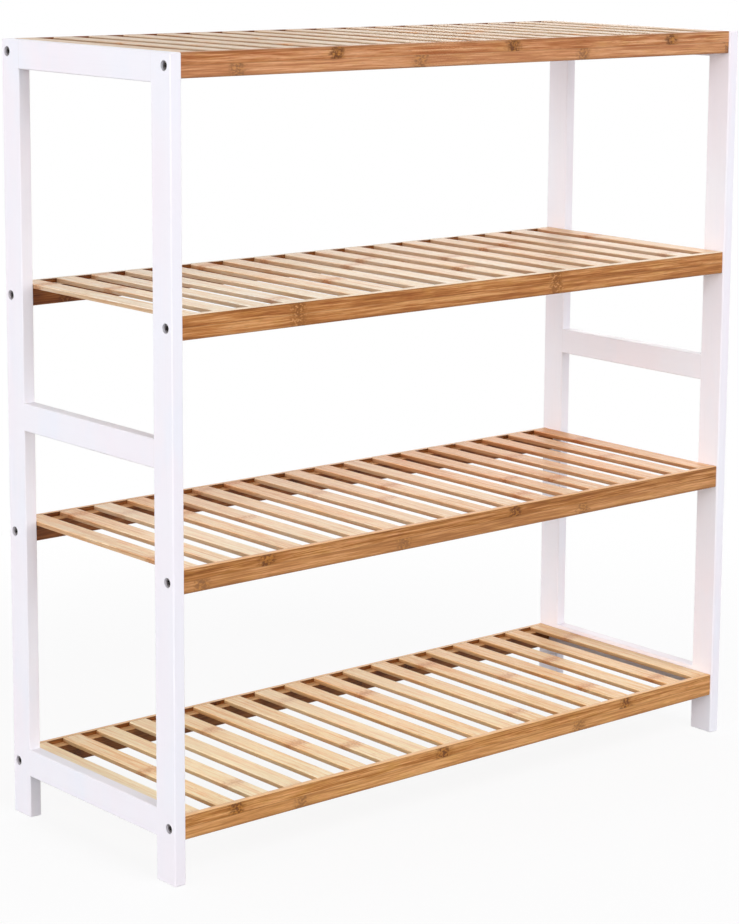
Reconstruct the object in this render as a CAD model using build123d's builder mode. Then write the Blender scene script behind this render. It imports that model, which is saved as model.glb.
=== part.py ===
# Tiered shoe rack: two painted ladder-shaped side frames carry four slatted bamboo shelves.
#
# Millimetres. +X runs along the shelves to the right, +Y to the back, +Z up. The origin is on the
# floor, midway between the four feet, so the front of the rack faces -Y.

import os

from build123d import *

os.makedirs("parts", exist_ok=True)

# Overall size
rack_width = 700
rack_depth = 260
rack_height = 730

# Shelves: the top one is flush with the post tops, the others step down from it
shelf_count = 4
shelf_pitch = 222.5
shelf_tops = [rack_height - shelf_pitch * tier for tier in range(shelf_count)]

# Side frames: posts stand on the floor, rails run front to back between them
post_thickness = 12
post_width = 28
post_chamfer = 1.2
frame_chamfer = 0.8
frame_rail_height = 26
middle_rail_top = 398

# Mortise and tenon: a stub tenon at each end of a frame rail is glued into a post's inward edge
tenon_thickness = 6
tenon_height = 18
tenon_length = 12.5
mortise_clearance = 0.05
mortise_spare = 0.5

# Shelf rails: set back from the post faces, with a rabbet behind a lip that takes the slat ends
shelf_rail_height = 22
shelf_rail_thickness = 14
shelf_rail_setback = 2
shelf_rail_chamfer = 0.6
lip_thickness = 5

# Slats: flush with the lips, the outer two close to the side frames and the rest evenly between
slat_count = 18
slat_width = 20
slat_thickness = 4
slat_chamfer = 0.6
slat_side_gap = 0.5
slat_end_gap = 0.3

# Hex-socket screws, one through each post into the end of each shelf rail
screw_head_diameter = 8.8
screw_head_height = 3.5
screw_shank_diameter = 6
screw_length = 40
hex_key_size = 4
hex_key_depth = 2.5
recess_diameter = 9
recess_depth = 5.3
bore_clearance = 0.05
pilot_spare = 2

# Values worked out from those above
inner_width = rack_width - 2 * post_thickness
frame_rail_length = rack_depth - 2 * post_width
post_x = (rack_width - post_thickness) / 2
post_y = (rack_depth - post_width) / 2
shelf_rail_y = rack_depth / 2 - shelf_rail_setback - shelf_rail_thickness / 2
slat_length = rack_depth - 2 * (shelf_rail_setback + lip_thickness + slat_end_gap)
slat_pitch = (inner_width - 2 * slat_side_gap - slat_width) / (slat_count - 1)
screw_bore_radius = screw_shank_diameter / 2 + bore_clearance
pilot_depth = screw_length - (post_thickness - recess_depth) + pilot_spare

# The lowest frame rail stands level with the underside of the lowest shelf's rails
bottom_rail_top = shelf_tops[-1] - shelf_rail_height + frame_rail_height
frame_rail_tops = {"bottom": bottom_rail_top, "middle": middle_rail_top, "top": rack_height}

sides = {"left": -1, "right": 1}
ends = {"front": -1, "back": 1}


def screw_height(shelf_top):
    # A screw enters its shelf rail at the middle of the rail's height.
    return shelf_top - shelf_rail_height / 2


def frame_rail_middle(top):
    return top - frame_rail_height / 2


def make_post(side, end):
    # An upright with a mortise for each frame rail and a counterbored hole for each shelf's screw.
    inward_y = end * (rack_depth / 2 - post_width)
    with BuildPart() as post:
        with BuildSketch():
            with Locations((side * post_x, end * post_y)):
                Rectangle(post_thickness, post_width)
        extrude(amount=rack_height)
        uprights = post.edges().filter_by(Axis.Z)
        chamfer(uprights.filter_by(lambda edge: edge.center().Y * end > post_y), post_chamfer)

        # The foot is eased all round, and the top wherever no frame rail carries on flush
        foot_edges = post.faces().sort_by(Axis.Z)[0].edges()
        top_edges = post.faces().sort_by(Axis.Z)[-1].edges()
        joint_edges = top_edges.filter_by(lambda edge: abs(edge.center().Y - inward_y) < frame_chamfer)
        chamfer(foot_edges + (top_edges - joint_edges), frame_chamfer)

        # Stopped chamfers along the inward corners run from one frame rail to the next
        run_start = 0
        for top in frame_rail_tops.values():
            with BuildSketch(Plane.XY.offset(run_start)):
                with Locations((side * post_x, inward_y)):
                    with GridLocations(post_thickness, 1, 2, 1):
                        Rectangle(frame_chamfer * 2**0.5, frame_chamfer * 2**0.5, rotation=45)
            extrude(amount=top - frame_rail_height - run_start, mode=Mode.SUBTRACT)
            run_start = top

        # Mortises
        with BuildSketch(Plane.XZ.offset(-inward_y)):
            for top in frame_rail_tops.values():
                with Locations((side * post_x, frame_rail_middle(top))):
                    Rectangle(tenon_thickness + 2 * mortise_clearance, tenon_height + 2 * mortise_clearance)
        extrude(amount=-end * (tenon_length + mortise_spare), mode=Mode.SUBTRACT)

        # Screw recesses in the outer face
        recesses = [
            Plane(origin=(side * rack_width / 2, end * shelf_rail_y, screw_height(top)), z_dir=(side, 0, 0))
            for top in shelf_tops
        ]
        with Locations(*recesses):
            CounterBoreHole(screw_bore_radius, recess_diameter / 2, recess_depth, post_thickness)
    return post.part


def make_frame_rail(side, top):
    # A rail of a side frame, flush with both faces of the posts, with a stub tenon at each end.
    with BuildPart() as rail:
        with BuildSketch(Plane.XZ):
            with Locations((side * post_x, frame_rail_middle(top))):
                Rectangle(post_thickness, frame_rail_height)
        extrude(amount=frame_rail_length / 2, both=True)
        chamfer(rail.edges().filter_by(Axis.Y), frame_chamfer)
        with BuildSketch(Plane.XZ):
            with Locations((side * post_x, frame_rail_middle(top))):
                Rectangle(tenon_thickness, tenon_height)
        extrude(amount=frame_rail_length / 2 + tenon_length, both=True)
    return rail.part


def make_shelf_rail(top, end):
    # A long rail whose lip stands outside the slat ends, which lie on the ledge of its rabbet.
    outer_y = end * (rack_depth / 2 - shelf_rail_setback)
    lip_y = outer_y - end * lip_thickness
    inner_y = outer_y - end * shelf_rail_thickness
    ledge_z = top - slat_thickness
    bottom_z = top - shelf_rail_height
    with BuildPart() as rail:
        with BuildSketch(Plane.YZ):
            with BuildLine():
                Polyline(
                    (outer_y, bottom_z),
                    (outer_y, top),
                    (lip_y, top),
                    (lip_y, ledge_z),
                    (inner_y, ledge_z),
                    (inner_y, bottom_z),
                    close=True,
                )
            make_face()
        extrude(amount=inner_width / 2, both=True)
        long_edges = rail.edges().filter_by(Axis.X)
        lip_edges = long_edges.filter_by(lambda edge: abs(edge.center().Y - lip_y) < shelf_rail_chamfer)
        chamfer(long_edges - lip_edges, shelf_rail_chamfer)
        pilots = [
            Plane(origin=(side * inner_width / 2, end * shelf_rail_y, screw_height(top)), z_dir=(side, 0, 0))
            for side in sides.values()
        ]
        with Locations(*pilots):
            Hole(screw_bore_radius, pilot_depth)
    return rail.part


def make_slats(top):
    # The slats of one shelf, as separate solids eased along their upper edges.
    with BuildPart() as slats:
        with BuildSketch(Plane.XY.offset(top - slat_thickness)):
            with GridLocations(slat_pitch, slat_length, slat_count, 1):
                Rectangle(slat_width, slat_length)
        extrude(amount=slat_thickness)
        chamfer(slats.edges().filter_by(Axis.Y).group_by(Axis.Z)[-1], slat_chamfer)
    return slats.part


def make_screw():
    # One screw along Z with the top of its head at the origin: a turned body with a hexagonal socket.
    head_radius = screw_head_diameter / 2
    shank_radius = screw_shank_diameter / 2
    shank_end = -screw_head_height - screw_length
    with BuildPart() as screw:
        with BuildSketch(Plane.XZ):
            with BuildLine():
                Polyline(
                    (0, 0),
                    (head_radius, 0),
                    (head_radius, -screw_head_height),
                    (shank_radius, -screw_head_height),
                    (shank_radius, shank_end),
                    (0, shank_end),
                    close=True,
                )
            make_face()
        revolve(axis=Axis.Z)
        with BuildSketch():
            RegularPolygon(hex_key_size / 2, 6, major_radius=False)
        extrude(amount=-hex_key_depth, mode=Mode.SUBTRACT)
    return screw.part


def save(part, name):
    part.label = name
    export_step(part, f"parts/{name}.step")


# Side frames
for side_name, side in sides.items():
    for end_name, end in ends.items():
        save(make_post(side, end), f"{side_name}_{end_name}_post")
    for level, top in frame_rail_tops.items():
        save(make_frame_rail(side, top), f"{side_name}_{level}_rail")

# Shelves, numbered from the top
for tier, top in enumerate(shelf_tops, start=1):
    for end_name, end in ends.items():
        save(make_shelf_rail(top, end), f"tier{tier}_{end_name}_rail")
    save(make_slats(top), f"tier{tier}_slats")

# Screws: each head seats on the bottom of its recess in a post's outer face
screw = make_screw()
head_x = rack_width / 2 - recess_depth + screw_head_height
seats = [
    Plane(origin=(side * head_x, end * shelf_rail_y, screw_height(top)), z_dir=(side, 0, 0))
    for side in sides.values()
    for end in ends.values()
    for top in shelf_tops
]
with BuildPart() as shelf_screws:
    with Locations(*seats):
        add(screw)
save(shelf_screws.part, "shelf_screws")
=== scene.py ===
import math

import bpy
from mathutils import Matrix, Vector


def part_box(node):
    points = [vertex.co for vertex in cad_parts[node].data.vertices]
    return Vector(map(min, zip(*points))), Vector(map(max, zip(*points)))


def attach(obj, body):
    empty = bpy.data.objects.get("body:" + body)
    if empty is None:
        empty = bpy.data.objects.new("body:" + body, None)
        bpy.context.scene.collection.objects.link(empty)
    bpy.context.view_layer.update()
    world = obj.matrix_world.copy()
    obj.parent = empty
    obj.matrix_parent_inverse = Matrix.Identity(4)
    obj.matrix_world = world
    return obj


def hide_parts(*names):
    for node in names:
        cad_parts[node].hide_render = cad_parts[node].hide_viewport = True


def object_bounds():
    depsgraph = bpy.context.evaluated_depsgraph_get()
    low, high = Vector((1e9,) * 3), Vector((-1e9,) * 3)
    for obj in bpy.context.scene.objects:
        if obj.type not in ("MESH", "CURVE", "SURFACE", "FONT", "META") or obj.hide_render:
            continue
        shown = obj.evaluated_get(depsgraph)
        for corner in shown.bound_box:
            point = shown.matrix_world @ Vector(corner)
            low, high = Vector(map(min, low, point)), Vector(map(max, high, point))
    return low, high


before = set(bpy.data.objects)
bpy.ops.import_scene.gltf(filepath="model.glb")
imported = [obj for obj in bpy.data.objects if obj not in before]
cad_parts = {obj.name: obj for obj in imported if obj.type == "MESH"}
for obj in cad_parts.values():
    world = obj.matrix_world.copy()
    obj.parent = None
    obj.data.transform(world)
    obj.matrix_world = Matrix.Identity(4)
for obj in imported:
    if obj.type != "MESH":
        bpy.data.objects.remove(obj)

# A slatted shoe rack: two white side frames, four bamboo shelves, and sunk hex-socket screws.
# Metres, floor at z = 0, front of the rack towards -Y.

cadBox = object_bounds()
scene = bpy.context.scene
tiers = (1, 2, 3, 4)
print("frame loaded:", len(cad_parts), "pieces")


# Places taken from the frame.

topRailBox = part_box("tier1_front_rail")
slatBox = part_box("tier1_slats")
shelfTop = topRailBox[1].z
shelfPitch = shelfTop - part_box("tier2_front_rail")[1].z
railLeft = topRailBox[0].x
railHeight = shelfTop - topRailBox[0].z
slats = {"count": 18, "width": 0.020}
slatPitch = (slatBox[1].x - slatBox[0].x - slats["width"]) / (slats["count"] - 1)


# Small helpers for node trees.

def tone(red, green, blue):
    # a colour given from 0 to 255, turned linear for the shaders
    def linear(value):
        share = value / 255
        return share / 12.92 if share <= 0.04045 else ((share + 0.055) / 1.055) ** 2.4
    return (linear(red), linear(green), linear(blue), 1.0)


def feed(tree, socket, value):
    if isinstance(value, bpy.types.NodeSocket):
        tree.links.new(value, socket)
    else:
        socket.default_value = value


def addNode(tree, kind, inputs=None, **settings):
    made = tree.nodes.new("ShaderNode" + kind)
    for name, value in settings.items():
        setattr(made, name, value)
    for name, value in (inputs or {}).items():
        feed(tree, made.inputs[name], value)
    return made


def calc(tree, operation, first, second=0.0, clamp=False):
    made = addNode(tree, "Math", operation=operation, use_clamp=clamp)
    feed(tree, made.inputs[0], first)
    feed(tree, made.inputs[1], second)
    return made.outputs[0]


def remap(tree, value, low, high, toLow=0.0, toHigh=1.0, smooth=False):
    style = "SMOOTHSTEP" if smooth else "LINEAR"
    limits = {"Value": value, "From Min": low, "From Max": high, "To Min": toLow, "To Max": toHigh}
    return addNode(tree, "MapRange", limits, interpolation_type=style).outputs["Result"]


def mixColour(tree, share, first, second, blend="MIX"):
    made = addNode(tree, "Mix", data_type="RGBA", blend_type=blend)
    feed(tree, made.inputs[0], share)
    feed(tree, made.inputs[6], first)
    feed(tree, made.inputs[7], second)
    return made.outputs[2]


def mixValue(tree, share, first, second):
    made = addNode(tree, "Mix", data_type="FLOAT")
    feed(tree, made.inputs[0], share)
    feed(tree, made.inputs[2], first)
    feed(tree, made.inputs[3], second)
    return made.outputs[0]


def rampColour(tree, share, stops):
    made = addNode(tree, "ValToRGB", {"Fac": share})
    elements = made.color_ramp.elements
    while len(elements) < len(stops):
        elements.new(0.5)
    for element, (place, colour) in zip(elements, stops):
        element.position = place
        element.color = colour
    return made.outputs["Color"]


def noise(tree, vector, stretch, detail=2.0, distortion=0.0):
    # noise drawn out along an axis: stretch is how many features fit in a metre each way
    mapped = addNode(tree, "Mapping", {"Vector": vector, "Scale": stretch}).outputs["Vector"]
    inputs = {"Vector": mapped, "Scale": 1.0, "Detail": detail, "Distortion": distortion}
    return addNode(tree, "TexNoise", inputs).outputs[0]


def joined(tree, x, y=0.0, z=0.0):
    return addNode(tree, "CombineXYZ", {"X": x, "Y": y, "Z": z}).outputs["Vector"]


def lengthOf(tree, vector):
    made = addNode(tree, "VectorMath", operation="LENGTH")
    feed(tree, made.inputs[0], vector)
    return made.outputs["Value"]


def randomColour(tree, vector):
    made = addNode(tree, "TexWhiteNoise", {"Vector": vector}, noise_dimensions="3D")
    return made.outputs["Color"]


def fromNearest(tree, value, start, spacing):
    # how far, signed, a value is from the nearest of a row of evenly spaced marks
    steps = calc(tree, "DIVIDE", calc(tree, "SUBTRACT", value, start), spacing)
    share = calc(tree, "FRACT", calc(tree, "ADD", steps, 0.5))
    return calc(tree, "MULTIPLY", calc(tree, "SUBTRACT", share, 0.5), spacing)


def bumpNormal(tree, height, look):
    inputs = {"Height": height, "Strength": look["bumpStrength"], "Distance": look["bump"]}
    return addNode(tree, "Bump", inputs).outputs["Normal"]


def mixShaders(tree, share, first, second):
    made = addNode(tree, "MixShader", {"Fac": share})
    tree.links.new(first, made.inputs[1])
    tree.links.new(second, made.inputs[2])
    return made.outputs["Shader"]


def newMaterial(name):
    made = bpy.data.materials.new(name)
    made.use_nodes = True
    made.node_tree.nodes.clear()
    return made, made.node_tree


def finishMaterial(tree, shader):
    output = addNode(tree, "OutputMaterial")
    tree.links.new(shader, output.inputs["Surface"])


def objectPlace(tree):
    place = addNode(tree, "TexCoord").outputs["Object"]
    split = addNode(tree, "SeparateXYZ", {"Vector": place})
    return place, split.outputs


def faceDirection(tree):
    normal = addNode(tree, "TexCoord").outputs["Normal"]
    return addNode(tree, "SeparateXYZ", {"Vector": normal}).outputs


# White satin paint on the side frames.

whitePaint = {
    "clouds": (9, 9, 5),    # how many of each marking fit in a metre along x, y and z
    "drift": (31, 27, 12),
    "peel": (520, 520, 520),
    "base": tone(238, 236, 241),
    "warmer": tone(240, 233, 238),
    "cooler": tone(234, 235, 242),
    "worn": tone(212, 204, 196),
    "grain": tone(229, 226, 231),
    "warmBand": (0.42, 0.62),    # from where to where in its noise each marking comes in
    "coolBand": (0.5, 0.72),
    "grainBand": (0.56, 0.78),
    "wornBand": (0.38, 0.68),
    "sheenBand": (0.3, 0.7),
    "coolerShare": 0.7,
    "grainShare": 0.25,
    "wornEdge": 0.0009,
    "wornTurn": (0.99, 0.82),    # how nearly flat the edge is where the rubbing starts and is full
    "wornShare": (0.05, 0.5),
    "roughness": (0.34, 0.5),
    "specular": 0.42,
    "coat": 0.12,
    "coatRoughness": 0.22,
    "bump": 0.00012,
    "bumpStrength": 0.35,
    "fibreHeight": 0.6,
}


def paintedWood(name, grainStretch):
    look = whitePaint
    made, tree = newMaterial(name)
    place, _ = objectPlace(tree)
    clouds = noise(tree, place, look["clouds"], detail=2.0)
    drift = noise(tree, place, look["drift"], detail=3.0)
    fibres = noise(tree, place, grainStretch, detail=3.0, distortion=0.25)
    peel = noise(tree, place, look["peel"], detail=1.0)

    warmShare = remap(tree, clouds, *look["warmBand"])
    coolShare = remap(tree, drift, *look["coolBand"], 0.0, look["coolerShare"])
    grainShare = remap(tree, fibres, *look["grainBand"], 0.0, look["grainShare"])
    colour = mixColour(tree, warmShare, look["base"], look["warmer"])
    colour = mixColour(tree, coolShare, colour, look["cooler"])
    colour = mixColour(tree, grainShare, colour, look["grain"])

    # the paint is thinner and a little rubbed along the corners
    rounded = addNode(tree, "Bevel", {"Radius": look["wornEdge"]}, samples=4).outputs["Normal"]
    flat = addNode(tree, "NewGeometry").outputs["True Normal"]
    agree = addNode(tree, "VectorMath", operation="DOT_PRODUCT")
    feed(tree, agree.inputs[0], rounded)
    feed(tree, agree.inputs[1], flat)
    corner = remap(tree, agree.outputs["Value"], *look["wornTurn"])
    patchy = remap(tree, drift, *look["wornBand"], *look["wornShare"])
    rubbed = calc(tree, "MULTIPLY", corner, patchy)
    colour = mixColour(tree, rubbed, colour, look["worn"])

    roughness = remap(tree, drift, *look["sheenBand"], *look["roughness"])
    height = calc(tree, "MULTIPLY_ADD", fibres, look["fibreHeight"])
    feed(tree, height.node.inputs[2], peel)
    shader = addNode(tree, "BsdfPrincipled", {
        "Base Color": colour, "Roughness": roughness, "Normal": bumpNormal(tree, height, look),
        "Specular IOR Level": look["specular"],
        "Coat Weight": look["coat"], "Coat Roughness": look["coatRoughness"],
    })
    finishMaterial(tree, shader.outputs["BSDF"])
    return made


# Bamboo.

# how many of each marking fit in a metre along, across and through the cane
caneGrain = {
    "hairs": (120, 1500, 1500),
    "streaks": (30, 1000, 1000),
    "bands": (11, 330, 330),
    "waver": (170, 420, 420),
    "pores": (330, 470, 470),
    "stripShift": (7, 5, 3),    # how many metres apart in the grain two strips can lie
}
# from where to where in its noise each marking comes in
caneBands = {
    "colour": (0.4, 0.5, 0.61),    # dark, middle and light
    "tint": (0.5, 0.7),
    "hairs": (0.54, 0.68),
    "pits": (0.46, 0.56),
    "flecks": (0.46, 0.36),
    "scar": (0.42, 0.6),
    "trail": (0.42, 0.62),
    "sheen": (0.3, 0.75),
}
# metres from a knuckle: each mark is full at the first and gone at the second
knuckleMarks = {
    "cluster": (0.002, 0.012),
    "scar": (0.0004, 0.0013),
    "trail": (0.0, 0.022),
    "trailStart": (0.0, -0.003),
    "waver": 0.016,
    "trailLeast": 0.25,    # what is left of the trail between its streaks, as a share
}
caneFinish = {
    "specular": 0.24,
    "coat": 0.12,
    "coatRoughness": 0.35,
    "bumpStrength": 0.4,
}


def bambooSurface(tree, fibre, knuckle, look):
    # fibre runs along its X, and knuckle is how far, signed, a point is from the nearest knuckle
    hairs = noise(tree, fibre, caneGrain["hairs"], detail=3.0)
    streaks = noise(tree, fibre, caneGrain["streaks"], detail=4.0, distortion=0.3)
    bands = noise(tree, fibre, caneGrain["bands"], detail=3.0, distortion=0.4)
    patches = noise(tree, fibre, look["patches"], detail=3.0, distortion=0.5)
    blush = noise(tree, fibre, look["blushes"], detail=3.0, distortion=0.5)

    body = mixValue(tree, 0.5, streaks, bands)
    shades = (look["dark"], look["middle"], look["light"])
    colour = rampColour(tree, body, list(zip(caneBands["colour"], shades)))
    ruddyShare = remap(tree, patches, *caneBands["tint"], 0.0, look["tint"])
    oliveShare = remap(tree, blush, *caneBands["tint"], 0.0, look["tint"])
    colour = mixColour(tree, ruddyShare, colour, look["ruddy"], "MULTIPLY")
    colour = mixColour(tree, oliveShare, colour, look["olive"], "MULTIPLY")
    thread = remap(tree, hairs, *caneBands["hairs"], 0.0, look["hairs"])
    colour = mixColour(tree, thread, colour, look["vessel"])

    # a knuckle: a ragged cluster of dark pores, a thin scar, and a smear that trails off
    waver = noise(tree, fibre, caneGrain["waver"], detail=3.0)
    offset = calc(tree, "MULTIPLY", calc(tree, "SUBTRACT", waver, 0.5), knuckleMarks["waver"])
    apart = calc(tree, "ADD", knuckle, offset)
    near = calc(tree, "ABSOLUTE", apart)
    cluster = remap(tree, near, *knuckleMarks["cluster"], 1.0, 0.0, smooth=True)
    pores = noise(tree, fibre, caneGrain["pores"], detail=3.0)
    pits = calc(tree, "MULTIPLY", cluster, remap(tree, pores, *caneBands["pits"]))
    specks = remap(tree, pores, *caneBands["flecks"], 0.0, look["flecks"])
    flecks = calc(tree, "MULTIPLY", cluster, specks)
    line = remap(tree, near, *knuckleMarks["scar"], 1.0, 0.0)
    scar = calc(tree, "MULTIPLY", line, remap(tree, patches, *caneBands["scar"]))
    fading = remap(tree, apart, *knuckleMarks["trail"], 1.0, 0.0)
    started = remap(tree, apart, *knuckleMarks["trailStart"], 1.0, 0.0)
    trail = calc(tree, "MULTIPLY", fading, started)
    streaky = remap(tree, streaks, *caneBands["trail"], knuckleMarks["trailLeast"], 1.0)
    trail = calc(tree, "MULTIPLY", trail, streaky)
    shaded = calc(tree, "MULTIPLY", calc(tree, "ADD", cluster, trail), look["smear"], clamp=True)
    marked = calc(tree, "MULTIPLY", calc(tree, "MAXIMUM", pits, scar), look["pores"], clamp=True)
    colour = mixColour(tree, shaded, colour, look["smearTone"])
    colour = mixColour(tree, marked, colour, look["poreTone"])
    colour = mixColour(tree, flecks, colour, look["fleckTone"])

    height = calc(tree, "SUBTRACT", calc(tree, "ADD", streaks, hairs), marked)
    roughness = remap(tree, hairs, *caneBands["sheen"], *look["roughness"])
    return colour, height, roughness


def bambooShader(tree, colour, height, roughness, look):
    shader = addNode(tree, "BsdfPrincipled", {
        "Base Color": colour, "Roughness": roughness, "Normal": bumpNormal(tree, height, look),
        "Specular IOR Level": look["specular"],
        "Coat Weight": look["coat"], "Coat Roughness": look["coatRoughness"],
    })
    finishMaterial(tree, shader.outputs["BSDF"])


def shiftedFibre(tree, along, across, through, seed):
    # every strip of cane gets its own stretch of grain
    moved = addNode(tree, "VectorMath", operation="MULTIPLY_ADD")
    feed(tree, moved.inputs[0], seed)
    feed(tree, moved.inputs[1], caneGrain["stripShift"])
    feed(tree, moved.inputs[2], joined(tree, along, across, through))
    return moved.outputs["Vector"]


# Each shelf rail is two strips of cane, one above the other. For each strip: how many metres
# from the rail's left end its first knuckle is, and how many it is to the next.
shelfRails = {
    1: {"upper": (0.169, 0.212), "lower": (0.060, 0.206), "lowerLift": 0.22,
        "dark": tone(158, 88, 38), "middle": tone(190, 126, 76), "light": tone(216, 160, 114),
        "lip": tone(176, 122, 82)},
    2: {"upper": (0.126, 0.316), "lower": (0.127, 0.315), "lowerLift": 0.05,
        "dark": tone(144, 80, 24), "middle": tone(182, 118, 58), "light": tone(210, 154, 98),
        "lip": tone(255, 240, 212),
        "poreTone": tone(132, 78, 30), "fleckTone": tone(224, 166, 108)},
    3: {"upper": (0.091, 0.302), "lower": (0.020, 0.232), "lowerLift": 0.25,
        "dark": tone(136, 78, 24), "middle": tone(175, 115, 56), "light": tone(208, 152, 100),
        "lip": tone(242, 190, 136)},
    4: {"upper": (0.057, 0.247), "lower": (0.131, 0.354), "lowerLift": 0.24,
        "dark": tone(152, 92, 34), "middle": tone(191, 131, 70), "light": tone(218, 164, 106),
        "lip": tone(248, 200, 142)},
}
railLook = {
    "ruddy": (1.0, 0.9, 0.88, 1),
    "olive": (0.95, 1.0, 0.72, 1),
    "vessel": tone(128, 80, 36),
    "smearTone": tone(150, 92, 26),
    "poreTone": tone(98, 52, 12),
    "fleckTone": tone(196, 132, 54),
    "seam": tone(124, 80, 40),
    # painted shade on the inner faces of the rails
    "innerShadeTone": (0.5, 0.37, 0.25, 1),
    "patches": (60, 210, 210),
    "blushes": (38, 120, 120),
    "tint": 0.6,
    "hairs": 0.4,
    "smear": 0.6,
    "pores": 0.9,
    "flecks": 0.55,
    # how much of the painted light and shade on the top faces goes on
    "lipShare": 0.76,
    "glueLine": (0.0002, 0.0007),    # metres either side of the seam
    "glueShare": 0.35,
    "edgeBand": (0.0006, 0.0026),    # metres in from the edge of a face
    "edgeShare": 0.5,
    "faceTurn": (0.5, 0.9),    # how squarely a face has to look that way, as a cosine
    "lipTurn": (0.4, 0.7),
    "innerShadeTurn": (0.6, 0.95),
    "backShift": 0.083,    # how far the knuckles of a back rail are moved along it
    "roughness": (0.36, 0.55),
    "bump": 0.00010,
}


def shelfRailBamboo(tier):
    look = {**caneFinish, **railLook, **shelfRails[tier]}
    made, tree = newMaterial(f"bamboo_rail_{tier}")
    _, (x, y, z) = objectPlace(tree)
    facing = faceDirection(tree)
    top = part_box(f"tier{tier}_front_rail")[1].z
    down = calc(tree, "SUBTRACT", top, z)
    isUpper = calc(tree, "LESS_THAN", down, railHeight / 2)
    isBack = calc(tree, "GREATER_THAN", y, 0.0)

    along = calc(tree, "MULTIPLY_ADD", isBack, look["backShift"])
    feed(tree, along.node.inputs[2], calc(tree, "SUBTRACT", x, railLeft))
    start = mixValue(tree, isUpper, look["lower"][0], look["upper"][0])
    spacing = mixValue(tree, isUpper, look["lower"][1], look["upper"][1])
    knuckle = fromNearest(tree, along, start, spacing)

    seed = randomColour(tree, joined(tree, isUpper, isBack, float(tier)))
    fibre = shiftedFibre(tree, along, z, y, seed)
    colour, height, roughness = bambooSurface(tree, fibre, knuckle, look)
    lighter = calc(tree, "MULTIPLY", calc(tree, "SUBTRACT", 1.0, isUpper), look["lowerLift"])
    colour = mixColour(tree, lighter, colour, look["light"])

    # the glue line between the strips, and darker bands along the top and bottom edges of the
    # front and back faces
    level = calc(tree, "ABSOLUTE", calc(tree, "SUBTRACT", down, railHeight / 2))
    glueLine = remap(tree, level, *look["glueLine"], look["glueShare"], 0.0)
    fromEdge = calc(tree, "SUBTRACT", railHeight / 2, level)
    isFace = remap(tree, calc(tree, "ABSOLUTE", facing["Y"]), *look["faceTurn"])
    edgeShare = remap(tree, fromEdge, *look["edgeBand"], look["edgeShare"], 0.0)
    edge = calc(tree, "MULTIPLY", isFace, edgeShare)
    colour = mixColour(tree, calc(tree, "MAXIMUM", glueLine, edge), colour, look["seam"])
    # painted light and shade: the top faces take a tone of their own for each tier
    lipLight = remap(tree, facing["Z"], *look["lipTurn"], 0.0, look["lipShare"])
    colour = mixColour(tree, lipLight, colour, look["lip"])
    # painted shade: the inner faces are darkened, standing for the shade under the slats
    turn = calc(tree, "SUBTRACT", 1.0, calc(tree, "MULTIPLY", isBack, 2.0))
    innerShade = remap(tree, calc(tree, "MULTIPLY", facing["Y"], turn), *look["innerShadeTurn"])
    colour = mixColour(tree, innerShade, colour, look["innerShadeTone"], "MULTIPLY")
    bambooShader(tree, colour, height, roughness, look)
    return made


# Each shelf's slats have tones of their own, and their own strength of painted shade.
shelfSlats = {
    1: {"dark": tone(193, 160, 128), "middle": tone(215, 190, 160), "light": tone(229, 212, 190),
        "shadeStrength": 0.0},
    2: {"dark": tone(237, 205, 167), "middle": tone(255, 241, 211), "light": tone(255, 251, 237),
        "shadeStrength": 0.6},
    3: {"dark": tone(235, 194, 149), "middle": tone(255, 231, 190), "light": tone(255, 245, 219),
        "shadeStrength": 1.0},
    4: {"dark": tone(241, 196, 134), "middle": tone(255, 232, 181), "light": tone(255, 242, 206),
        "shadeStrength": 0.6},
}
slatLook = {
    "ruddy": (1.0, 0.86, 0.79, 1),
    "olive": (1.0, 0.965, 0.86, 1),
    "vessel": tone(214, 160, 106),
    "smearTone": tone(226, 166, 104),
    "poreTone": tone(188, 120, 60),
    "fleckTone": tone(232, 190, 132),
    "patches": (24, 90, 90),
    "blushes": (15, 70, 70),
    "redder": (1.0, 0.9, 0.82, 1),
    "redderShare": 0.45,
    "palerShare": 0.35,
    # painted shade towards the right and the back of a shelf
    "paintedShade": (0.8, 0.42, 0.2, 1),
    "shadeRight": 0.55,
    "shadeBack": 0.3,
    # the slats' sides: darker for less varnish, and painted shade between the slats
    "sawnAndShaded": (0.62, 0.52, 0.44, 1),
    "sideTurn": (0.75, 0.95),
    "knuckleSpacing": 0.33,
    "tint": 0.75,
    "hairs": 0.4,
    "smear": 0.4,
    "pores": 0.45,
    "flecks": 0.1,
    "roughness": (0.42, 0.6),
    "bump": 0.00008,
}


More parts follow.
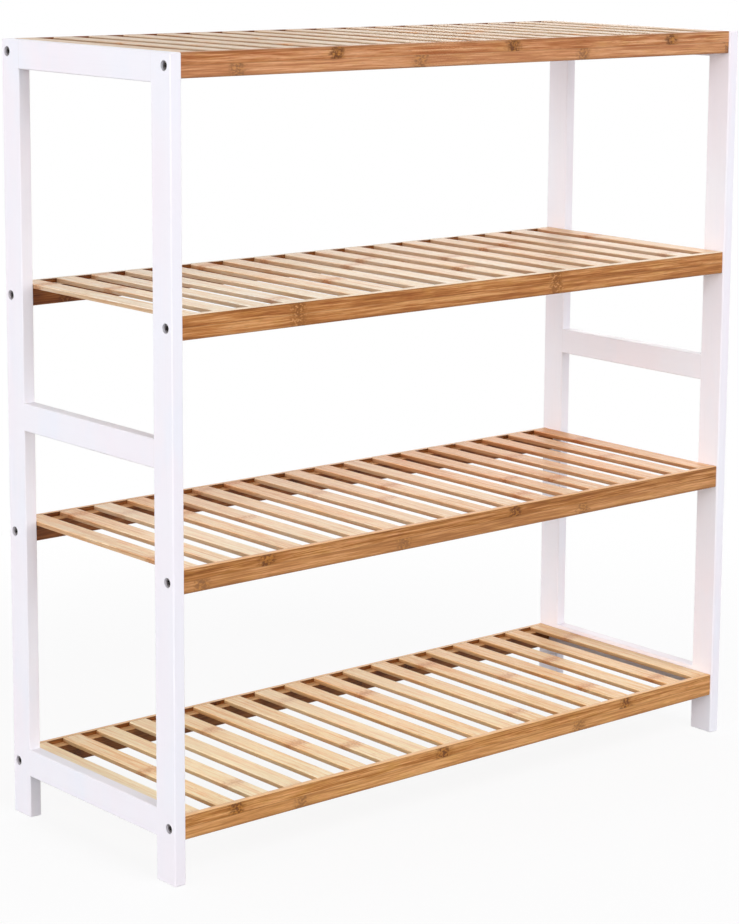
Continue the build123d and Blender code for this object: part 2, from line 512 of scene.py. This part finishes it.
def slatBamboo(tier):
    look = {**caneFinish, **slatLook, **shelfSlats[tier]}
    made, tree = newMaterial(f"bamboo_slat_{tier}")
    _, (x, y, z) = objectPlace(tree)
    facing = faceDirection(tree)
    across = calc(tree, "SUBTRACT", x, slatBox[0].x - (slatPitch - slats["width"]) / 2)
    number = calc(tree, "FLOOR", calc(tree, "DIVIDE", across, slatPitch))
    seed = randomColour(tree, joined(tree, number, float(tier)))
    own = addNode(tree, "SeparateXYZ", {"Vector": seed}).outputs
    fibre = shiftedFibre(tree, y, x, z, seed)
    start = calc(tree, "MULTIPLY", own["Y"], look["knuckleSpacing"])
    knuckle = fromNearest(tree, y, start, look["knuckleSpacing"])
    colour, height, roughness = bambooSurface(tree, fibre, knuckle, look)

    # painted shade: the slats turn darker and redder towards the right and the back of a shelf,
    # for the shade of the shelf above
    mostRight = look["shadeRight"] * look["shadeStrength"]
    mostBack = look["shadeBack"] * look["shadeStrength"]
    rightShade = remap(tree, x, slatBox[0].x, slatBox[1].x, 0.0, mostRight)
    backShade = remap(tree, y, slatBox[0].y, slatBox[1].y, 0.0, mostBack)
    paintedShade = calc(tree, "ADD", rightShade, backShade, clamp=True)
    colour = mixColour(tree, paintedShade, colour, look["paintedShade"], "MULTIPLY")
    # no two slats are quite alike, and their sawn sides are darker, partly from less varnish and
    # partly as painted shade between the slats
    redder = remap(tree, own["X"], 0.0, 0.5, look["redderShare"], 0.0)
    paler = remap(tree, own["X"], 0.5, 1.0, 0.0, look["palerShare"])
    colour = mixColour(tree, redder, colour, look["redder"], "MULTIPLY")
    colour = mixColour(tree, paler, colour, look["light"])
    sawnAndShaded = remap(tree, calc(tree, "ABSOLUTE", facing["X"]), *look["sideTurn"])
    colour = mixColour(tree, sawnAndShaded, colour, look["sawnAndShaded"], "MULTIPLY")
    bambooShader(tree, colour, height, roughness, look)
    return made


# Blackened steel of the screws.

screwSteel = {
    "dark": tone(64, 60, 60),
    "light": tone(168, 162, 160),
    "dust": tone(116, 104, 96),
    "turnedBand": (0.35, 0.7),
    "dustBand": (0.55, 0.75),
    "sheenBand": (0.3, 0.7),
    "dustShare": 0.5,
    "turning": (9000, 1400, 1),    # marks to a metre out from the axis and along it
    "smudges": (640, 640, 640),
    "metallic": 0.9,
    "roughness": (0.18, 0.36),
    "bump": 0.00004,
    "bumpStrength": 0.4,
}


def blackenedSteel():
    look = screwSteel
    made, tree = newMaterial("blackened_steel")
    place, (x, y, z) = objectPlace(tree)
    # turning marks are rings about each screw's own axis
    railMiddle = (topRailBox[0] + topRailBox[1]) / 2
    sideways = calc(tree, "SUBTRACT", calc(tree, "ABSOLUTE", y), abs(railMiddle.y))
    upDown = fromNearest(tree, z, railMiddle.z, shelfPitch)
    radius = lengthOf(tree, joined(tree, sideways, upDown))
    turned = noise(tree, joined(tree, radius, x), look["turning"], detail=2.0)
    smudge = noise(tree, place, look["smudges"], detail=3.0)
    bright = remap(tree, turned, *look["turnedBand"])
    dusty = remap(tree, smudge, *look["dustBand"], 0.0, look["dustShare"])
    colour = mixColour(tree, bright, look["dark"], look["light"])
    colour = mixColour(tree, dusty, colour, look["dust"])
    roughness = remap(tree, smudge, *look["sheenBand"], *look["roughness"])
    shader = addNode(tree, "BsdfPrincipled", {
        "Base Color": colour, "Metallic": look["metallic"], "Roughness": roughness,
        "Normal": bumpNormal(tree, turned, look),
    })
    finishMaterial(tree, shader.outputs["BSDF"])
    return made


# Dressing the pieces that come with the frame.

woodGrain = {"across": 700, "along": 14}    # fibres under the paint, to a metre


def finishPiece(piece, material):
    piece.data.materials.clear()
    piece.data.materials.append(material)


def dress(nodeName, material):
    finishPiece(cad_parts[nodeName], material)


across, along = woodGrain["across"], woodGrain["along"]
postPaint = paintedWood("white_paint_upright", (across, across, along))
railPaint = paintedWood("white_paint_crossing", (across, along, across))
for side in ("left", "right"):
    for end in ("front", "back"):
        dress(f"{side}_{end}_post", postPaint)
    for level in ("top", "middle", "bottom"):
        dress(f"{side}_{level}_rail", railPaint)
for tier in tiers:
    railMaterial = shelfRailBamboo(tier)
    dress(f"tier{tier}_front_rail", railMaterial)
    dress(f"tier{tier}_back_rail", railMaterial)
    dress(f"tier{tier}_slats", slatBamboo(tier))
print("painted frames and bamboo shelves dressed")


# Hex-socket screws.

screwSizes = {
    "headDiameter": 0.0088,
    "headHeight": 0.0035,
    "headEdge": 0.0009,
    "headEdgeSteps": 3,
    "keySize": 0.004,
    "keyDepth": 0.0025,
    "drillPoint": 0.0006,
    "drillSteps": (0.12, 0.3),    # insets of the drill point, as shares of keySize
    "shankDiameter": 0.006,
    "coreDiameter": 0.0044,
    "shoulder": 0.013,
    "length": 0.040,
    "threadPitch": 0.0026,
    "threadOverlap": 0.0002,
    "toothCuts": 4,
    "toothCrest": 0.4,    # how wide the crest is, as a share of the strip it is raised from
    "point": 0.003,
    "pointShare": 0.35,
    "roundness": 40,
    "threadSteps": 24,
    "weld": 0.000005,
    "smoothBelow": 32,
    "driven": {"tier": 17, "back": 23, "side": 9},    # degrees by which their sockets differ
}
touching = 1e-5    # metres


def startPiece(name):
    # the piece just added is active, and the only one selected
    piece = bpy.context.object
    piece.name = name
    piece.data.name = name
    return piece


def editParts(piece, mode, test):
    # enters edit mode with only the parts that pass the test selected
    bpy.ops.object.mode_set(mode="EDIT")
    bpy.ops.mesh.select_all(action="DESELECT")
    bpy.ops.mesh.select_mode(type=mode)
    bpy.ops.object.mode_set(mode="OBJECT")
    mesh = piece.data
    parts = {"VERT": mesh.vertices, "EDGE": mesh.edges, "FACE": mesh.polygons}[mode]
    for part in parts:
        part.select = test(part)
    bpy.ops.object.mode_set(mode="EDIT")


def editAll(piece):
    editParts(piece, "VERT", lambda vertex: True)


def leaveEdit():
    bpy.ops.object.mode_set(mode="OBJECT")


def facesDown(face):
    return face.normal.z < -0.9


def applyBoolean(piece, other, operation):
    cut = piece.modifiers.new("cut", "BOOLEAN")
    cut.operation = operation
    cut.object = other
    cut.solver = "EXACT"
    bpy.context.view_layer.objects.active = piece
    bpy.ops.object.modifier_apply(modifier=cut.name)
    bpy.data.objects.remove(other)


def screwHead():
    # a turned head with its shoulder, standing on Z with the top of the head at zero
    size = screwSizes
    bpy.ops.mesh.primitive_cylinder_add(
        vertices=size["roundness"], radius=size["headDiameter"] / 2, depth=size["headHeight"],
        location=(0, 0, -size["headHeight"] / 2),
    )
    bpy.ops.object.transform_apply(location=True, rotation=False, scale=False)
    head = startPiece("screw_head")
    editParts(head, "FACE", facesDown)
    bpy.ops.mesh.inset(thickness=(size["headDiameter"] - size["shankDiameter"]) / 2)
    bpy.ops.mesh.extrude_region_move(TRANSFORM_OT_translate={"value": (0, 0, -size["shoulder"])})
    leaveEdit()
    onTop = [abs(vertex.co.z) < touching for vertex in head.data.vertices]
    editParts(head, "EDGE", lambda edge: all(onTop[end] for end in edge.vertices))
    bpy.ops.mesh.bevel(offset=size["headEdge"], segments=size["headEdgeSteps"], affect="EDGES")
    leaveEdit()
    return head


def hexKey():
    # the cutter for the socket: a hexagonal bar with a drill point below
    size = screwSizes
    bpy.ops.mesh.primitive_cylinder_add(
        vertices=6, radius=size["keySize"] / math.sqrt(3), depth=2 * size["keyDepth"],
    )
    key = startPiece("hex_key")
    editParts(key, "FACE", facesDown)
    for share in size["drillSteps"]:
        bpy.ops.mesh.inset(thickness=size["keySize"] * share)
    bpy.ops.transform.translate(value=(0, 0, -size["drillPoint"]))
    leaveEdit()
    return key


def threadedShank():
    # one tooth of the thread, wound down the core by a screw modifier, then trimmed to length
    size = screwSizes
    core = size["coreDiameter"] / 2
    crest = size["shankDiameter"] / 2
    pitch = size["threadPitch"]
    bpy.ops.mesh.primitive_plane_add(size=pitch, rotation=(0, math.pi / 2, 0))
    bpy.ops.object.transform_apply(location=True, rotation=True, scale=True)
    shank = startPiece("screw_thread")
    editParts(shank, "VERT", lambda vertex: vertex.co.y < 0)
    bpy.ops.mesh.delete(type="VERT")
    leaveEdit()
    # the cuts make five strips, and the middle one is raised to the crest
    editAll(shank)
    bpy.ops.mesh.subdivide(number_cuts=size["toothCuts"])
    bpy.ops.transform.translate(value=(core, -pitch / 2, 0))
    leaveEdit()
    strip = pitch / (size["toothCuts"] + 1)
    editParts(shank, "VERT", lambda vertex: abs(vertex.co.z) < strip)
    bpy.ops.transform.translate(value=(crest - core, 0, 0))
    bpy.ops.transform.resize(value=(1, 1, size["toothCrest"]))
    leaveEdit()

    threadEnd = -(size["headHeight"] + size["length"] - size["point"])
    threadStart = -(size["headHeight"] + size["shoulder"] - size["threadOverlap"])
    turns = math.ceil((threadStart - threadEnd) / pitch) + 2
    editAll(shank)
    bpy.ops.transform.translate(value=(0, 0, threadStart + pitch))
    leaveEdit()
    wind = shank.modifiers.new("wind", "SCREW")
    wind.axis = "Z"
    wind.angle = 2 * math.pi
    wind.steps = size["threadSteps"]
    wind.render_steps = size["threadSteps"]
    wind.screw_offset = -pitch
    wind.iterations = turns
    bpy.ops.object.modifier_apply(modifier=wind.name)

    # trim both ends square and draw the lower one out to a blunt point
    editAll(shank)
    bpy.ops.mesh.remove_doubles(threshold=size["weld"])
    bpy.ops.mesh.normals_make_consistent(inside=False)
    start, end = (0, 0, threadStart), (0, 0, threadEnd)
    bpy.ops.mesh.bisect(plane_co=start, plane_no=(0, 0, 1), use_fill=True, clear_outer=True)
    bpy.ops.mesh.select_all(action="SELECT")
    bpy.ops.mesh.bisect(plane_co=end, plane_no=(0, 0, 1), use_fill=True, clear_inner=True)
    leaveEdit()
    editParts(shank, "FACE", lambda face: facesDown(face) and face.center.z < threadEnd + touching)
    bpy.ops.mesh.extrude_region_move(TRANSFORM_OT_translate={"value": (0, 0, -size["point"])})
    tip = (0, 0, threadEnd - size["point"])
    taper = (size["pointShare"], size["pointShare"], 1)
    bpy.ops.transform.resize(value=taper, center_override=tip)
    bpy.ops.mesh.select_all(action="SELECT")
    bpy.ops.mesh.normals_make_consistent(inside=False)
    leaveEdit()
    return shank


def makeScrew():
    bpy.ops.object.select_all(action="DESELECT")
    head = screwHead()
    key = hexKey()
    applyBoolean(head, key, "DIFFERENCE")
    shank = threadedShank()
    bpy.ops.object.select_all(action="DESELECT")
    head.select_set(True)
    applyBoolean(head, shank, "UNION")
    editAll(head)
    bpy.ops.mesh.remove_doubles(threshold=screwSizes["weld"])
    leaveEdit()
    bpy.ops.object.shade_smooth_by_angle(angle=math.radians(screwSizes["smoothBelow"]))
    return head


masterScrew = makeScrew()
finishPiece(masterScrew, blackenedSteel())
driven = screwSizes["driven"]
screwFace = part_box("shelf_screws")[1].x    # how far out the heads reach
for tier in tiers:
    for end in ("front", "back"):
        railLow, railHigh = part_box(f"tier{tier}_{end}_rail")
        middle = (railLow + railHigh) / 2
        for side, direction in (("left", -1), ("right", 1)):
            screw = masterScrew.copy()
            screw.data = masterScrew.data.copy()
            screw.name = f"screw_tier{tier}_{side}_{end}"
            screw.data.name = screw.name
            seat = Matrix.Translation((direction * screwFace, middle.y, middle.z))
            lie = Matrix.Rotation(direction * math.pi / 2, 4, "Y")
            angle = driven["tier"] * tier + driven["side"] * direction
            if end == "back":
                angle += driven["back"]
            turn = Matrix.Rotation(math.radians(angle), 4, "Z")
            screw.data.transform(seat @ lie @ turn)
            bpy.context.collection.objects.link(screw)
            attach(screw, "root")
            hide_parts("shelf_screws")
bpy.data.objects.remove(masterScrew)
print("sixteen screws seated")


# Floor, light and camera.

studio = {
    "floorRadius": 30.0,
    "floorSides": 96,
    "floorTone": tone(132, 132, 136),
    "floorSpeckle": tone(125, 126, 130),
    "speckles": (60, 60, 60),
    "speckleBand": (0.3, 0.7),
    "shownTone": tone(252, 252, 252),
    "shadowReach": (0.5, 1.1),
    "shadowShare": 0.12,
    "skyTone": (0.96, 0.97, 1.0, 1),
    "horizonGlow": 2.7,
    "zenithGlow": 0.1,
    "zenithStart": 0.8,    # how high on the sky the glow reaches its least, 1 being overhead
    "white": (1, 1, 1, 1),
}


def shownDirectly(tree):
    # 1 for what the camera, a reflection or a glass sees, 0 for the light that falls on the rack
    path = addNode(tree, "LightPath").outputs
    seen = calc(tree, "ADD", path["Is Camera Ray"], path["Is Glossy Ray"], clamp=True)
    return calc(tree, "ADD", seen, path["Is Transmission Ray"], clamp=True)


def floorMaterial():
    made, tree = newMaterial("pale_floor")
    place, _ = objectPlace(tree)
    speckle = noise(tree, place, studio["speckles"], detail=3.0)
    speckled = remap(tree, speckle, *studio["speckleBand"])
    colour = mixColour(tree, speckled, studio["floorTone"], studio["floorSpeckle"])
    matt = addNode(tree, "BsdfDiffuse", {"Color": colour}).outputs["BSDF"]
    # what is shown is plain white, with a little of the rack's shadow mixed in close by
    lit = addNode(tree, "BsdfDiffuse", {"Color": studio["shownTone"]}).outputs["BSDF"]
    glow = addNode(tree, "Emission", {"Color": studio["white"], "Strength": 1.0}).outputs[0]
    near, far = studio["shadowReach"]
    share = remap(tree, lengthOf(tree, place), far, near, 0.0, studio["shadowShare"], smooth=True)
    shown = mixShaders(tree, share, glow, lit)
    finishMaterial(tree, mixShaders(tree, shownDirectly(tree), matt, shown))
    return made


def makeFloor():
    bpy.ops.object.select_all(action="DESELECT")
    bpy.ops.mesh.primitive_circle_add(
        vertices=studio["floorSides"], radius=studio["floorRadius"], fill_type="NGON",
    )
    floor = startPiece("floor")
    finishPiece(floor, floorMaterial())


def makeWorld():
    world = bpy.data.worlds.new("white_room")
    scene.world = world
    world.use_nodes = True
    tree = world.node_tree
    tree.nodes.clear()
    # bright walls all round that fall off towards the ceiling
    direction = addNode(tree, "TexCoord").outputs["Generated"]
    upward = addNode(tree, "SeparateXYZ", {"Vector": direction}).outputs["Z"]
    glow = remap(tree, upward, 0.0, studio["zenithStart"],
                 studio["horizonGlow"], studio["zenithGlow"], smooth=True)
    around = addNode(tree, "Background", {"Color": studio["skyTone"], "Strength": glow})
    behind = addNode(tree, "Background", {"Color": studio["white"], "Strength": 1.0})
    both = mixShaders(tree, shownDirectly(tree), around.outputs[0], behind.outputs[0])
    output = addNode(tree, "OutputWorld")
    tree.links.new(both, output.inputs["Surface"])


softBoxes = {
    "left": {"place": (-5.5, -1.0, 0.8), "size": 1.5, "watts": 78, "tone": tone(255, 253, 252)},
    "front": {"place": (0.0, -4.0, 4.5), "size": 2.6, "watts": 110, "tone": tone(254, 252, 255)},
    "back": {"place": (5.2, 4.2, 2.2), "size": 3.0, "watts": 40, "tone": tone(255, 253, 250)},
}


def makeLights():
    aim = (cadBox[0] + cadBox[1]) / 2
    for name, box in softBoxes.items():
        place = Vector(box["place"])
        bpy.ops.object.light_add(type="AREA", location=place)
        lamp = bpy.context.object
        lamp.name = f"softbox_{name}"
        lamp.rotation_euler = (aim - place).to_track_quat("-Z", "Y").to_euler()
        lamp.data.shape = "SQUARE"
        lamp.data.size = box["size"]
        lamp.data.energy = box["watts"]
        lamp.data.color = box["tone"][:3]


camera = {
    "place": (-1.641, -1.924, 0.860),
    "tilt": 80.21,
    "roll": -0.51,
    "turn": -40.90,
    "lens": 102.7,
    "sensor": 36,
    "shift": (-0.0443, -0.120),
}


def makeCamera():
    angles = [math.radians(camera[name]) for name in ("tilt", "roll", "turn")]
    bpy.ops.object.camera_add(location=camera["place"], rotation=angles)
    made = bpy.context.object
    made.name = "camera"
    made.data.lens = camera["lens"]
    made.data.sensor_width = camera["sensor"]
    made.data.shift_x, made.data.shift_y = camera["shift"]
    made.data.dof.use_dof = False
    scene.camera = made


makeFloor()
makeWorld()
makeLights()
makeCamera()
scene.view_settings.view_transform = "Standard"
print("floor, light and camera set")
